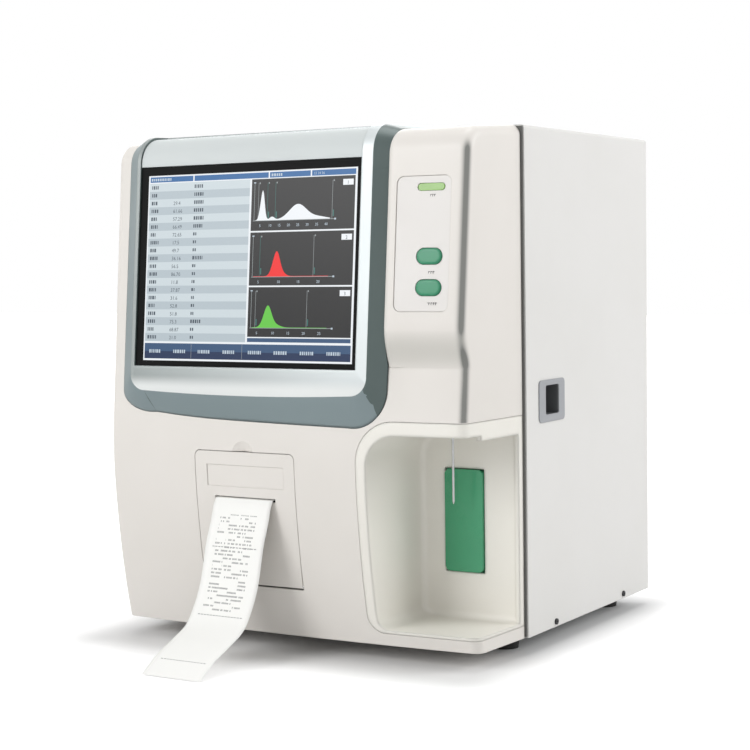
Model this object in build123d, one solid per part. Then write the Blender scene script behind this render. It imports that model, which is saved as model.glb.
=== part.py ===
from build123d import *
import math
import os

# All sizes in mm. X to the right, Y to the back, Z up. The drawing's own zero is near the front of the
# metal case; place_y moves every piece so that the origin is on the table under the middle of the whole,
# the hanging paper included.
place_y = 46.5
foot_height = 15.0
case_half_width = 183.3
case_front_y = -78.0
case_rear_y = 176.0
case_bottom_z = 15.0
case_top_z = 435.0
sheet = 1.2

cover_rear_y = -80.0
cover_half_rear = 180.5
cover_taper = 0.05
cover_wall, cover_side_wall = 3.0, 5.0
plan_bow = 6.05
bow_half_width = 176.0
bow_radius = bow_half_width**2 / (2 * plan_bow)
bow_axis_y = -160.0 + bow_radius
front_points = [(-157.9, 18.0), (-167.7, 65.0), (-174.5, 115.0), (-177.8, 165.0), (-173.0, 235.0),
                (-166.0, 315.0)]
lean = 0.09
front_top_y, front_top_z = -157.0, 415.0
top_front_z, top_rear_z = 431.0, 435.5
roll_radius = 20.0
corner_radius = 9.0

pad_raise = 8.7
pad_left_x = 105.0
pad_bottom_z, pad_top_of_step_z = 242.0, 268.0
pad_step_radius, pad_left_radius = 50.0, 6.0

bezel_raise, bezel_top_raise, bezel_rear_raise = 8.0, 5.0, 2.5
bezel_left_x, bezel_right_x = -161.0, 107.8
ridge_left_x, ridge_right_x = -145.0, 92.5
bezel_bottom_z, ridge_bottom_z = 196.0, 219.0

surround_left_x, surround_right_x = -141.0, 82.0
surround_bottom_z, surround_top_z = 239.3, 409.0
screen_width, screen_height = 211.2, 158.4
screen_centre_x, screen_centre_z = -27.8, 323.0

door_left_x, door_right_x = -80.0, 20.6
door_pin_z, door_top_z = 58.5, 169.3
door_thickness = 3.0
slot_z, slot_half_height = 130.0, 1.5
slot_left_x, slot_right_x = -60.8, 0.8

bay_left_x, bay_bottom_z, bay_top_z = 79.0, 25.0, 199.3
bay_back_y = -84.0
bay_floor_z, bay_ceiling_z = 28.0, 188.0
bay_wall_x = 88.0

needle_x, needle_y, needle_r, needle_tip_z = 129.3, -105.0, 1.0, 126.3
screw_y = -93.0
plate_left_x, plate_right_x, plate_bottom_z, plate_top_z = 110.4, 146.3, 67.0, 153.0

key_x = 145.0
print_z, sampling_z, lamp_z = 329.5, 305.0, 383.6
key_left_x, key_right_x, key_bottom_z, key_top_z = 115.0, 162.5, 286.2, 392.5


def box(x0, x1, y0, y1, z0, z1):
    return Pos((x0 + x1) / 2, (y0 + y1) / 2, (z0 + z1) / 2) * Box(x1 - x0, y1 - y0, z1 - z0)


def rod_z(x, y, z0, z1, r):
    return Pos(x, y, (z0 + z1) / 2) * Cylinder(r, z1 - z0)


def rod_y(x, z, y0, y1, r):
    return Pos(x, (y0 + y1) / 2, z) * Rot(90, 0, 0) * Cylinder(r, y1 - y0)


def rod_x(y, z, x0, x1, r):
    return Pos((x0 + x1) / 2, y, z) * Rot(0, 90, 0) * Cylinder(r, x1 - x0)


def front_y(z):
    # straight part of the front face, used for everything on the screen and the column
    return front_top_y + lean * (z - front_top_z)


def bow(x):
    return plan_bow * (x / bow_half_width) ** 2


def top_line(y, front_raise, rear_raise):
    z0, z1 = top_front_z + front_raise, top_rear_z + rear_raise
    return z0 + (y + 150.0) * (z1 - z0) / 70.0


def rounded_vertex(a, p, b, r):
    # tangent points and middle of the arc that rounds the corner a-p-b
    ua = [(a[i] - p[i]) / math.dist(a, p) for i in (0, 1)]
    ub = [(b[i] - p[i]) / math.dist(b, p) for i in (0, 1)]
    half = math.acos(ua[0] * ub[0] + ua[1] * ub[1]) / 2
    t = r / math.tan(half)
    bis = [ua[i] + ub[i] for i in (0, 1)]
    n = math.hypot(*bis)
    c = [p[i] + bis[i] / n * r / math.sin(half) for i in (0, 1)]
    m = [c[i] - bis[i] / n * r for i in (0, 1)]
    return [p[i] + ua[i] * t for i in (0, 1)], m, [p[i] + ub[i] * t for i in (0, 1)]


def section(out, up, up_rear, radius, low=None, low_radius=0.0, x=0.0, shift=0.0):
    # side profile of the front cover as a face in a YZ plane; out and up are raises of the surface.
    # it runs on past the cover's foot and rear edge, where the solid is trimmed later
    def at(p):
        return (x, p[0] + shift, p[1])

    rear = cover_rear_y + 30.0
    top_of_spline = (front_points[-1][0] - out, front_points[-1][1])
    knee = (front_top_y - out, front_top_z)
    for _ in range(40):
        z = top_line(knee[0], up, up_rear)
        knee = (front_y(z) - out, z)
    rear_top = (rear, top_line(rear, up, up_rear))
    a, m, b = rounded_vertex(top_of_spline, knee, rear_top, radius)
    if low is None:
        pts = [(p[0] - out, p[1]) for p in front_points]
        start = (pts[0][0] + 9.1, pts[0][1] - 38.0)
        edges = [Line(at(start), at(pts[0]))]
        edges.append(Spline([at(p) for p in pts], tangents=[(0, -0.24, 1), (0, lean, 1)]))
        edges.append(Line(at(pts[-1]), at(a)))
    else:
        # low: list of points below the straight part, already in place
        start = low[0]
        corners = low + [a]
        edges = []
        here = start
        for before, corner, after in zip(corners, corners[1:], corners[2:]):
            if low_radius:
                one, middle, two = rounded_vertex(before, corner, after, low_radius)
                edges += [Line(at(here), at(one)), ThreePointArc(at(one), at(middle), at(two))]
                here = two
            else:
                edges.append(Line(at(here), at(corner)))
                here = corner
        edges.append(Line(at(here), at(a)))
    edges.append(ThreePointArc(at(a), at(m), at(b)))
    edges.append(Line(at(b), at(rear_top)))
    corner = (rear, start[1])
    edges.append(Line(at(rear_top), at(corner)))
    edges.append(Line(at(corner), at(start)))
    return make_face(Wire(edges))


def swept(face):
    # the front is slightly bowed in plan: the profile turns about a far vertical axis
    axis = Axis((0, bow_axis_y, 0), (0, 0, 1))
    return revolve(face, axis=axis, revolution_arc=8.8).rotate(axis, -4.4)


def side_prism(inset, left=-400.0):
    def side(y):
        return cover_half_rear + cover_taper * (y - cover_rear_y) - inset

    pts = [(side(-30), -30), (side(-205), -205), (-side(-205), -205), (-side(-30), -30)]
    prism = Pos(0, 0, -60) * extrude(make_face(Polyline(*pts, close=True)), 560)
    return prism & box(left, 400, -400, 0, -60, 500)


def trimmed(solid, bottom=case_bottom_z):
    return solid & box(-400, 400, -400, cover_rear_y, bottom, 500)


def round_side(solid, sign, r):
    # every edge of the side face apart from its foot and its rear edge
    face = solid.faces().sort_by(Axis.X)[-1 if sign > 0 else 0]
    low = face.bounding_box().min.Z
    edges = [e for e in face.edges() if e.center().Y < cover_rear_y + 15 and e.center().Z > low + 1]
    return fillet(edges, r)


def skin(out=0.0, inset=0.0, rounded=True, bottom=case_bottom_z):
    up = min(out, 0.0)
    solid = swept(section(out, up, up, roll_radius + out)) & side_prism(inset)
    if rounded:
        solid = round_side(solid, 1, corner_radius)
        solid = round_side(solid, -1, corner_radius)
    return trimmed(solid, bottom)


def pad(out, inset, left, low_out, up=0.0, rounded=True):
    # raised button column on the right, coming back to the lower front in a soft step
    foot = (front_y(pad_bottom_z - 20) - low_out, pad_bottom_z - 20)
    step_back = (front_y(pad_bottom_z) - low_out, pad_bottom_z)
    step_out = (front_y(pad_top_of_step_z) - out, pad_top_of_step_z)
    face = section(out, up, up, 22.0 + up, low=[foot, step_back, step_out], low_radius=pad_step_radius)
    solid = swept(face) & side_prism(inset, left=left)
    if rounded:
        solid = round_side(solid, 1, corner_radius)
        solid = round_side(solid, -1, pad_left_radius)
    return trimmed(solid, pad_bottom_z)


def column_room(left):
    # the space that the raised column takes out of the plain front
    return box(left, 300, -300, 0, pad_bottom_z, 500)


def plain_skin(out=0.0):
    return skin(out, rounded=False)


def lean_plane(x, z, raise_=0.0):
    # plane on the leaned front, local x right, local y up the slope, local z outwards
    n = math.hypot(1, lean)
    return Plane(origin=(x, front_y(z) - raise_, z), x_dir=(1, 0, 0), z_dir=(0, -1 / n, lean / n))


def lean_box(x0, x1, z0, z1, outer, inner):
    # box lying on the leaned front, between two raises above it
    zc = (z0 + z1) / 2
    up = (z1 - z0) / 2 * math.hypot(1, lean)
    n = math.hypot(1, lean)
    face = Pos(0, 0, inner / n) * Rectangle(x1 - x0, 2 * up)
    return extrude(lean_plane((x0 + x1) / 2, zc) * face, (outer - inner) / n)


def obround(width, height):
    return SlotOverall(width, height)


def outline(points):
    # closed outline in the XZ plane, extruded through the whole front
    edges = []
    for (kind, *p) in points:
        q = [(u, 0.0, v) for u, v in p]
        edges.append(Line(*q) if kind == "line" else ThreePointArc(*q))
    return extrude(make_face(Wire(edges)), 260, dir=(0, -1, 0))


def rounded_outline(x0, x1, z0, z1, r_bl, r_tl, r_tr=0.01, r_br=0.01, sag=0.0):
    def arc(cx, cz, r, a0):
        pts = [(cx + r * math.cos(math.radians(a)), cz + r * math.sin(math.radians(a)))
               for a in (a0, a0 + 45, a0 + 90)]
        return ("arc", *pts)

    bl, br = arc(x0 + r_bl, z0 + r_bl, r_bl, 180), arc(x1 - r_br, z0 + r_br, r_br, 270)
    tr, tl = arc(x1 - r_tr, z1 - r_tr, r_tr, 0), arc(x0 + r_tl, z1 - r_tl, r_tl, 90)
    bottom = ("line", bl[3], br[1])
    if sag:
        mid = ((bl[3][0] + br[1][0]) / 2, z0 - sag)
        bottom = ("arc", bl[3], mid, br[1])
    return outline([bl, bottom, br, ("line", br[3], tr[1]), tr, ("line", tr[3], tl[1]), tl,
                    ("line", tl[3], bl[1])])


def bezel_front():
    # flat-fronted tapered ring blank, lofted between its foot and its ridge
    def ring(left, right, z_low, radius, raise_, sag):
        top = 404.0
        z_scale = math.hypot(1, lean)
        with_ = [(left, top), (left, z_low + radius), (left + radius * 0.293, z_low + radius * 0.293),
                 (left + radius, z_low), ((left + right) / 2, z_low - sag), (right - radius, z_low),
                 (right - radius * 0.293, z_low + radius * 0.293), (right, z_low + radius), (right, top)]
        q = [(u, (v - 300.0) * z_scale, 0) for u, v in with_]
        wire = Wire([Line(q[0], q[1]), ThreePointArc(q[1], q[2], q[3]), ThreePointArc(q[3], q[4], q[5]),
                     ThreePointArc(q[5], q[6], q[7]), Line(q[7], q[8]), Line(q[8], q[0])])
        return lean_plane(0, 300.0, raise_) * make_face(wire)

    low, high = -3.5 - 1.5, bezel_raise - 1.5
    foot = ring(bezel_left_x, bezel_right_x + 4.0, 180.0, 40.0, low, 4.0)
    ridge = ring(ridge_left_x, ridge_right_x, ridge_bottom_z, 15.0, high, 2.5)
    return loft([foot, ridge], ruled=True)


def bezel_over_top():
    # the same taper carried over the roll and the top, lofted along X
    def cut(x, out, up, rear, shift):
        low = [(front_y(400.0) - out, 400.0)]
        return section(out, up, rear, roll_radius + max(out, 0) * 0.6, low=low, x=x, shift=shift)

    a = cut(bezel_left_x, 0.0, -0.5, -0.5, 5.0)
    b = cut(ridge_left_x, bezel_raise, bezel_top_raise, bezel_rear_raise, 1.5)
    c = cut(ridge_right_x, bezel_raise, bezel_top_raise, bezel_rear_raise, 1.5)
    d = cut(bezel_right_x, 0.0, -0.5, -0.5, 2.3)
    left = loft([a, b], ruled=True)
    middle = loft([b, c], ruled=True)
    right = loft([c, d], ruled=True)
    return (left + middle + right) & box(-200, 200, -300, cover_rear_y, 400.0, 500)


def make_bezel(base):
    solid = bezel_front() + bezel_over_top()
    solid = solid - base - pad(pad_raise, 0, pad_left_x - 0.2, 0.1)
    opening = lean_box(surround_left_x, surround_right_x, surround_bottom_z, 460, 30, -30)
    return solid - opening


def make_visor(base):
    low = [(front_y(surround_top_z + 0.5) - bezel_raise + 1.0, surround_top_z + 0.5)]
    face = section(bezel_raise - 1.0, bezel_top_raise - 2.0, bezel_rear_raise - 1.5, roll_radius + 4,
                   low=low, x=surround_left_x + 0.3, shift=1.5)
    solid = extrude(face, surround_right_x - surround_left_x - 0.6, dir=(1, 0, 0))
    solid = solid & box(-200, 200, -300, cover_rear_y, surround_top_z + 0.4, 500)
    return solid - base


def key_recess(depth):
    # rounded shallow pocket; the block behind its floor stays
    cut = rounded_outline(key_left_x, key_right_x, key_bottom_z, key_top_z, 6, 6, 6, 6)
    low = [(-150.0, 260.0), (front_y(260) - pad_raise + depth, 260.0)]
    behind = swept(section(pad_raise - depth, 0, 0, 22.0, low=low))
    return cut - behind


def button_plane(z):
    return lean_plane(key_x, z, pad_raise - 1.2 - bow(key_x))


def key_openings():
    cuts = Part()
    for z in (print_z, sampling_z):
        cuts += extrude(button_plane(z) * obround(23.0, 13.4), 12, both=True)
    return cuts + extrude(button_plane(lamp_z) * obround(24.2, 6.2), 12, both=True)


def posts():
    # screw posts that reach back to the front plate, and four short ones under the key board
    spots = [(-166, 40), (-166, 222), (40, 34), (34, 212), (-110, 34)]
    made = [rod_y(x, z, front_skin_y(x, z) + 2.0, case_front_y + 2.0, 4.0) for x, z in spots]
    made += [rod_y(x, 417, -152.0, case_front_y + 2.0, 3.5) for x in (-100, 60)]
    made += [rod_y(x, z, front_skin_y(x, z) + 2.0 - raised, case_front_y + 2.0, 4.0)
             for x, z, raised in ((166, 220, 0), (166, 400, pad_raise))]
    for x, z in ((117, 292), (161, 292), (117, 388), (161, 388)):
        made.append(extrude(lean_plane(x, z, pad_raise - bow(key_x) - 12.4) * Circle(2.2), 11.0))
    return made


def make_front_cover(base):
    solid = (base - column_room(pad_left_x)) + pad(pad_raise, 0, pad_left_x, 0.1)
    solid -= skin(-cover_wall, cover_side_wall, rounded=False, bottom=case_bottom_z + cover_wall)
    column = pad(pad_raise - cover_wall, cover_side_wall + 0.4, pad_left_x + cover_side_wall - 1,
                 -cover_wall - 0.5, up=-3.7, rounded=False)
    solid -= column & box(0, 300, -300, -100, 0, 500)
    for part in posts():
        solid += part
    solid -= key_recess(1.2)
    solid -= key_openings()
    solid -= lean_box(surround_left_x + 2, surround_right_x - 2, surround_bottom_z + 2, surround_top_z - 2,
                      30, -30)
    solid -= rounded_outline(bay_left_x, 300, bay_bottom_z, bay_top_z, 15, 34)
    solid -= door_hole()
    solid -= Pos(-30.5, -193.0 - 1.6, 168.5) * Sphere(20)
    solid -= rod_x(door_pin_y(), door_pin_z, door_left_x - 3.6, door_right_x + 3.6, 0.86)
    return solid


def door_pin_y():
    return front_skin_y(-30, door_pin_z) + door_thickness / 2


def front_skin_y(x, z):
    # y of the lower front at a height, from the same points as the spline (near enough for placing)
    pts = front_points
    for (y0, z0), (y1, z1) in zip(pts, pts[1:]):
        if z0 <= z <= z1:
            return y0 + (y1 - y0) * (z - z0) / (z1 - z0) - 0.5 + bow(x)
    return front_y(z) + bow(x)


def door_hole():
    return rounded_outline(door_left_x - 0.5, door_right_x + 0.5, door_pin_z - 2.9, door_top_z + 0.5,
                           1.5, 5.5, 5.5, 1.5)


def make_door(base):
    panel = rounded_outline(door_left_x, door_right_x, door_pin_z - 1.7, door_top_z, 1, 5, 5, 1)
    solid = (base & panel) - plain_skin(-door_thickness)
    # below the pin line the edge is turned to a round so that it swings clear
    pin_y = door_pin_y()
    solid -= box(-90, 30, -200, -100, 0, door_pin_z) - rod_x(pin_y, door_pin_z, -90, 30, 1.7)
    solid -= box(slot_left_x, slot_right_x, -200, -150, slot_z - slot_half_height, slot_z + slot_half_height)
    label = box(-68.0, 9.8, -230.0, -120.0, 139.8, 158.0)
    solid -= (label & base) - plain_skin(-0.8)
    return solid


def make_door_pins():
    pin_y = door_pin_y()
    left = rod_x(pin_y, door_pin_z, door_left_x - 3.2, door_left_x + 12, 0.8)
    right = rod_x(pin_y, door_pin_z, door_right_x - 12, door_right_x + 3.2, 0.8)
    return Compound([left, right])


def make_bay(base):
    block = base & rounded_outline(bay_left_x + 0.3, 300, bay_bottom_z + 0.3, bay_top_z - 0.3, 14.7, 33.7)
    block = block & box(0, 300, -300, cover_rear_y, 0, 300)
    cavity = rounded_outline(bay_wall_x, 300, bay_floor_z, bay_ceiling_z, 10, 26)
    cavity = cavity & box(0, 300, -300, bay_back_y, 0, 300)
    back = [e for e in cavity.edges() if abs(e.center().Y - bay_back_y) < 0.01 and e.center().X < 290]
    cavity = fillet(back, 5.0)
    solid = block - cavity
    # thin walls: clear away what is above the ceiling, but keep the outer skin
    solid -= box(86, 300, -150, cover_rear_y + 1, bay_ceiling_z + 3, 300) & side_prism(cover_wall)
    # hanging lip over the side opening
    lip = box(172.5, 300, -146, bay_back_y, bay_ceiling_z - 4, bay_ceiling_z + 3) & base
    solid += lip
    # rim strip at the back of the side opening
    solid += box(176, 300, bay_back_y - 3.0, cover_rear_y, bay_floor_z, bay_ceiling_z) & base
    solid -= box(plate_left_x - 0.5, plate_right_x + 0.5, -90, -80, plate_bottom_z - 0.5, plate_top_z + 0.5)
    solid -= rod_z(needle_x, needle_y, bay_ceiling_z - 1, bay_ceiling_z + 20, 3.0)
    return solid


def make_start_plate():
    w, h = plate_right_x - plate_left_x, plate_top_z - plate_bottom_z
    cx, cz = (plate_left_x + plate_right_x) / 2, (plate_bottom_z + plate_top_z) / 2
    face = Plane.XZ * Pos(cx, cz) * RectangleRounded(w, h, 5)
    solid = extrude(Pos(0, -79.7, 0) * face, 6.8)
    front = solid.faces().sort_by(Axis.Y)[0]
    solid = fillet(front.edges(), 1.0)
    flange_face = Plane.XZ * Pos(cx, cz) * RectangleRounded(w + 5, h + 5, 3)
    flange = extrude(Pos(0, -78.5, 0) * flange_face, 1.2)
    solid += flange
    for z in (cz - 30, cz + 30):
        solid += rod_y(cx, z, -79.0, -66.0, 2.0)
    return solid


def make_start_bracket():
    cx, cz = (plate_left_x + plate_right_x) / 2, (plate_bottom_z + plate_top_z) / 2
    solid = box(cx - 27, cx + 27, -74.5, -71.5, cz - 52, cz + 52)
    for z in (cz - 30, cz + 30):
        solid -= rod_y(cx, z, -80, -60, 2.05)
    return solid - box(cx - 2, cx + 2, -80, -70, cz - 6.5, cz - 2.5)


def make_start_switch():
    cx, cz = (plate_left_x + plate_right_x) / 2, (plate_bottom_z + plate_top_z) / 2
    solid = box(cx - 10, cx + 10, -71.5, -61.5, cz - 12, cz + 4)
    return solid + box(cx - 1.5, cx + 1.5, -75.8, -71.5, cz - 6, cz - 3)


def make_probe_frame():
    cx = needle_x
    solid = box(cx - 26, cx + 26, -79.0, -76.0, 208, 384)
    solid += box(cx - 26, cx + 26, -122, -76.0, 208, 212) + box(cx - 26, cx + 26, -112, -76.0, 380, 384)
    for x in (cx - 18, cx + 18):
        solid -= rod_z(x, screw_y, 200, 390, 3.0)
    solid -= rod_z(cx, screw_y, 200, 390, 3.05)
    solid -= rod_z(cx, needle_y, 200, 216, 2.0)
    return solid


def make_carriage():
    cx = needle_x
    solid = box(cx - 24, cx + 24, -112, -83, 222, 242)
    for x in (cx - 18, cx + 18):
        solid -= rod_z(x, screw_y, 200, 260, 3.05)
    solid -= rod_z(cx, screw_y, 200, 260, 3.05)
    solid -= rod_z(cx, needle_y, 200, 260, needle_r)
    return solid


def make_needle():
    tube = rod_z(needle_x, needle_y, needle_tip_z + 2.0, 252, needle_r)
    tip = Pos(needle_x, needle_y, needle_tip_z + 1.0) * Cone(0.25, needle_r, 2.0)
    return tube + tip


def make_lead_screw():
    return rod_z(needle_x, screw_y, 208, 386, 3.0)


def make_printer_frame():
    solid = box(-73, 13, -79, -76, 62, 172) + box(-73, 13, -150, -76, 62, 64)
    for x0 in (-73, 11):
        solid += box(x0, x0 + 2, -161, -76, 62, 172)
    solid -= rod_x(-128, 96, -80, 20, 6.05)
    solid -= rod_x(-157.5, 125, -80, 20, 2.05)
    return solid


def make_print_head():
    solid = box(-71, 11, -166, -148, 131.9, 134.5) + box(-71, 11, -152, -148, 134.5, 150)
    return solid


def paper_path():
    # side view of the strip: roll, over the platen, out of the slot and down to the table
    inside = [(-128.0, 118.3), (-142.0, 124.5), (-150.0, 129.0), (-157.5, 130.9), (-168.0, 130.9)]
    outside = [(-176.9, 130.2), (-180.6, 123.5), (-184.4, 112.0), (-192.0, 93.0), (-200.2, 64.0),
               (-209.5, 45.5),
               (-222.0, 30.2), (-240.5, 21.5), (-260.5, 13.4), (-274.0, 5.6), (-281.0, 1.0)]
    return inside + outside


def make_paper():
    half = 0.12
    pts = paper_path()
    edges = []
    normals = []
    for i, p in enumerate(pts):
        a, b = pts[max(i - 1, 0)], pts[min(i + 1, len(pts) - 1)]
        d = math.dist(a, b)
        normals.append(((b[1] - a[1]) / d, -(b[0] - a[0]) / d))
    one = [(-59.0, p[0] + n[0] * half, p[1] + n[1] * half) for p, n in zip(pts, normals)]
    two = [(-59.0, p[0] - n[0] * half, p[1] - n[1] * half) for p, n in zip(pts, normals)]
    edges = [Spline(one), Line(one[-1], two[-1]), Spline(two[::-1]), Line(two[0], one[0])]
    return extrude(make_face(Wire(edges)), 58.0, dir=(1, 0, 0))


def make_wrap():
    outer = box(-case_half_width, case_half_width, case_front_y, case_rear_y, case_bottom_z, case_top_z)
    top_edges = [e for e in outer.edges()
                 if abs(e.center().Z - case_top_z) < 0.01 and abs(e.center().X) > 100]
    outer = fillet(top_edges, 3.0)
    s = sheet
    inner = box(-case_half_width + s, case_half_width - s, case_front_y - 1, case_rear_y + 1, 0,
                case_top_z - s)
    inner_edges = [e for e in inner.edges()
                   if abs(e.center().Z - (case_top_z - s)) < 0.01 and abs(e.center().X) > 100]
    inner = fillet(inner_edges, 1.8)
    solid = outer - inner
    # folded edges, front and back
    rim = outer - box(-case_half_width + 9, case_half_width - 9, -300, 300, 0, case_top_z - 9)
    front = rim & box(-400, 400, case_front_y, case_front_y + s, 0, 460)
    back = rim & box(-400, 400, case_rear_y - s, case_rear_y, 0, 460)
    solid = solid + front + back
    for sign in (-1, 1):
        x = sign * case_half_width
        solid -= box(min(x - 5, x + 5), max(x - 5, x + 5), -53.4, -9.2, 192.4, 223.6)
        for y in (-25.7, 116.7):
            solid -= rod_x(y, 19.5, x - 5, x + 5, 1.6)
    # vent slots low on the left side
    for k in range(9):
        solid -= box(-190, -175, 40, 120, 60 + 9 * k, 63 + 9 * k)
    return solid


def make_case_screws():
    made = []
    for sign in (-1, 1):
        for y in (-25.7, 116.7):
            x = sign * case_half_width
            head = rod_x(y, 19.5, min(x, x + sign * 1.4), max(x, x + sign * 1.4), 2.6)
            slot_floor = box(min(x, x + sign * 0.5), max(x, x + sign * 0.5), y - 1.6, y + 1.6, 19.1, 19.9)
            head = head - box(x - 4, x + 4, y - 1.6, y + 1.6, 19.1, 19.9) + slot_floor
            shank = rod_x(y, 19.5, min(x - sign * 6, x), max(x - sign * 6, x), 1.5)
            made.append(head + shank)
    return Compound(made)


def make_grip_frames():
    made = []
    for sign in (-1, 1):
        x = sign * case_half_width
        plate = extrude(Plane.YZ * Pos(-31.3, 208) * RectangleRounded(48.6, 35.2, 4), 1.0)
        window = extrude(Plane.YZ * Pos(-31.0, 208.8) * RectangleRounded(25.4, 24.4, 2), 3.0, both=True)
        plate = plate - window
        plate = Pos(x if sign > 0 else x - 1.0, 0, 0) * plate
        made.append(plate)
    return Compound(made)


def make_grip_cups():
    made = []
    for sign in (-1, 1):
        outer = box(0, 18, -31.0 - 14.2, -31.0 + 14.2, 208.8 - 13.8, 208.8 + 13.8)
        hollow = box(-1, 16.5, -31.0 - 12.7, -31.0 + 12.7, 208.8 - 12.2, 208.8 + 12.2)
        cup = outer - hollow
        cup += box(0, 1.2, -53.2, -9.4, 192.6, 223.4) - box(-1, 2, -44, -18, 196, 221.4)
        x = sign * case_half_width
        cup = Pos(x, 0, 0) * (Rot(0, 0, 180) * Pos(0, 62.6, 0) * cup if sign > 0 else cup)
        made.append(cup)
    return Compound(made)


def make_front_plate():
    solid = box(-181, 181, -76.0, -74.5, 17, 432)
    cx, cz = (plate_left_x + plate_right_x) / 2, (plate_bottom_z + plate_top_z) / 2
    solid -= box(cx - 22, cx + 22, -80, -70, cz - 47, cz + 47)
    return solid


def make_base_tray():
    solid = box(-181.8, 181.8, -76.0, 174.0, 15.0, 16.5)
    for sign in (-1, 1):
        x0, x1 = sorted((sign * 181.8, sign * 180.3))
        solid += box(x0, x1, -60, 170, 15.0, 27.0)
        for y in (-25.7, 116.7):
            solid -= rod_x(y, 19.5, x0 - 3, x1 + 3, 1.5)
    for k in range(8):
        solid -= box(-60 + 16 * k, -54 + 16 * k, -40, 20, 10, 20)
    for x in (-150, 150):
        for y in (-55, 150):
            solid -= rod_z(x, y, 10, 20, 2.0)
    return solid


def make_feet():
    made = []
    for x in (-150, 150):
        for y in (-55, 150):
            foot = Pos(x, y, 7.5) * Cone(11, 13, 15)
            foot -= rod_z(x, y, 8, 16, 3.4)
            foot -= rod_z(x, y, -1, 3.0, 5.0)
            foot += rod_z(x, y, 8, 15, 3.4) - rod_z(x, y, 7, 16, 2.0)
            made.append(foot)
    return Compound(made)


def make_foot_screws():
    made = []
    for x in (-150, 150):
        for y in (-55, 150):
            made.append(rod_z(x, y, 8.2, 18.5, 2.0) + rod_z(x, y, 16.5, 19.0, 3.6))
    return Compound(made)


rear_y = 174.0
fan_x, fan_z = -95.0, 340.0


def make_rear_panel():
    solid = box(-181.5, 181.5, rear_y - 1.5, rear_y, 16.8, 433.2)
    solid -= rod_y(fan_x, fan_z, 160, 190, 37.0)
    solid -= box(86, 134, 160, 190, 46, 74)
    solid -= box(42, 62, 160, 190, 48, 72)
    for x, w in ((-20, 31), (-66, 31), (-104, 17), (-128, 15)):
        solid -= box(x - w / 2, x + w / 2, 160, 190, 88, 100)
    for k in range(4):
        solid -= rod_y(40 + 30 * k, 150, 160, 190, 5.0)
    solid -= rod_y(20, 60, 160, 190, 2.5)
    # louvres over the power supply
    for k in range(10):
        solid -= box(30, 110, 160, 190, 300 + 9 * k, 303 + 9 * k)
    for x in (fan_x - 35.7, fan_x + 35.7):
        for z in (fan_z - 35.7, fan_z + 35.7):
            solid -= rod_y(x, z, 160, 190, 2.2)
    return solid


def make_fan_frame():
    y0, y1 = rear_y - 1.5 - 25, rear_y - 1.5
    solid = box(fan_x - 40, fan_x + 40, y0, y1, fan_z - 40, fan_z + 40)
    solid -= rod_y(fan_x, fan_z, y0 - 1, y1 + 1, 37.5)
    for k in range(3):
        strut = box(fan_x - 3, fan_x + 3, y0, y0 + 2, fan_z, fan_z + 38.5)
        solid += strut.rotate(Axis((fan_x, 0, fan_z), (0, 1, 0)), 120 * k)
    solid += rod_y(fan_x, fan_z, y0, y0 + 4, 14)
    solid += rod_y(fan_x, fan_z, y0 + 4, y0 + 20, 2.0)
    for x in (fan_x - 35.7, fan_x + 35.7):
        for z in (fan_z - 35.7, fan_z + 35.7):
            solid -= rod_y(x, z, y1 - 12, y1 + 1, 2.0)
    return solid


def make_fan_rotor():
    y0 = rear_y - 26.5
    solid = rod_y(fan_x, fan_z, y0 + 5, y0 + 22, 15)
    for k in range(7):
        blade = Pos(fan_x + 25, y0 + 13.5, fan_z) * Rot(32, 0, 0) * Box(22, 1.6, 17)
        solid += blade.rotate(Axis((fan_x, 0, fan_z), (0, 1, 0)), 360 / 7 * k)
    return solid - rod_y(fan_x, fan_z, y0, y0 + 20.3, 2.05)


def make_fan_guard():
    made = Part()
    for r in (10, 19, 28, 37):
        made += Pos(fan_x, rear_y + 1.0, fan_z) * Rot(90, 0, 0) * Torus(r, 0.9)
    for a in (45, 135):
        bar = box(fan_x - 50, fan_x + 50, rear_y, rear_y + 1.8, fan_z - 0.9, fan_z + 0.9)
        made += bar.rotate(Axis((fan_x, 0, fan_z), (0, 1, 0)), a)
    for x in (fan_x - 35.7, fan_x + 35.7):
        for z in (fan_z - 35.7, fan_z + 35.7):
            made += rod_y(x, z, rear_y, rear_y + 1.8, 3.6)
            made -= rod_y(x, z, rear_y - 1, rear_y + 3, 2.0)
    return made


def make_fan_screws():
    made = []
    for x in (fan_x - 35.7, fan_x + 35.7):
        for z in (fan_z - 35.7, fan_z + 35.7):
            shank = rod_y(x, z, rear_y - 12, rear_y + 2.0, 1.9)
            made.append(shank + rod_y(x, z, rear_y + 1.8, rear_y + 4.0, 3.6))
    return Compound(made)


def make_inlet():
    solid = box(86.3, 133.7, rear_y - 24, rear_y, 46.3, 73.7) + box(82, 138, rear_y, rear_y + 2.5, 44, 76)
    solid -= box(97, 123, rear_y - 16, rear_y + 5, 52, 68)
    for x, z in ((103, 58), (117, 58), (110, 63)):
        solid += box(x - 1, x + 1, rear_y - 17, rear_y - 3, z - 2.2, z + 2.2)
    return solid


def make_switch_frame():
    solid = box(42.3, 61.7, rear_y - 14, rear_y, 48.3, 71.7) + box(40, 64, rear_y, rear_y + 2.0, 46, 74)
    solid -= box(45, 59, rear_y - 11, rear_y + 4, 50.5, 69.5)
    for x0, x1 in ((44.0, 45.0), (59.0, 60.0)):
        solid -= rod_x(rear_y - 4, 60, x0, x1, 1.05)
    return solid


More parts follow.
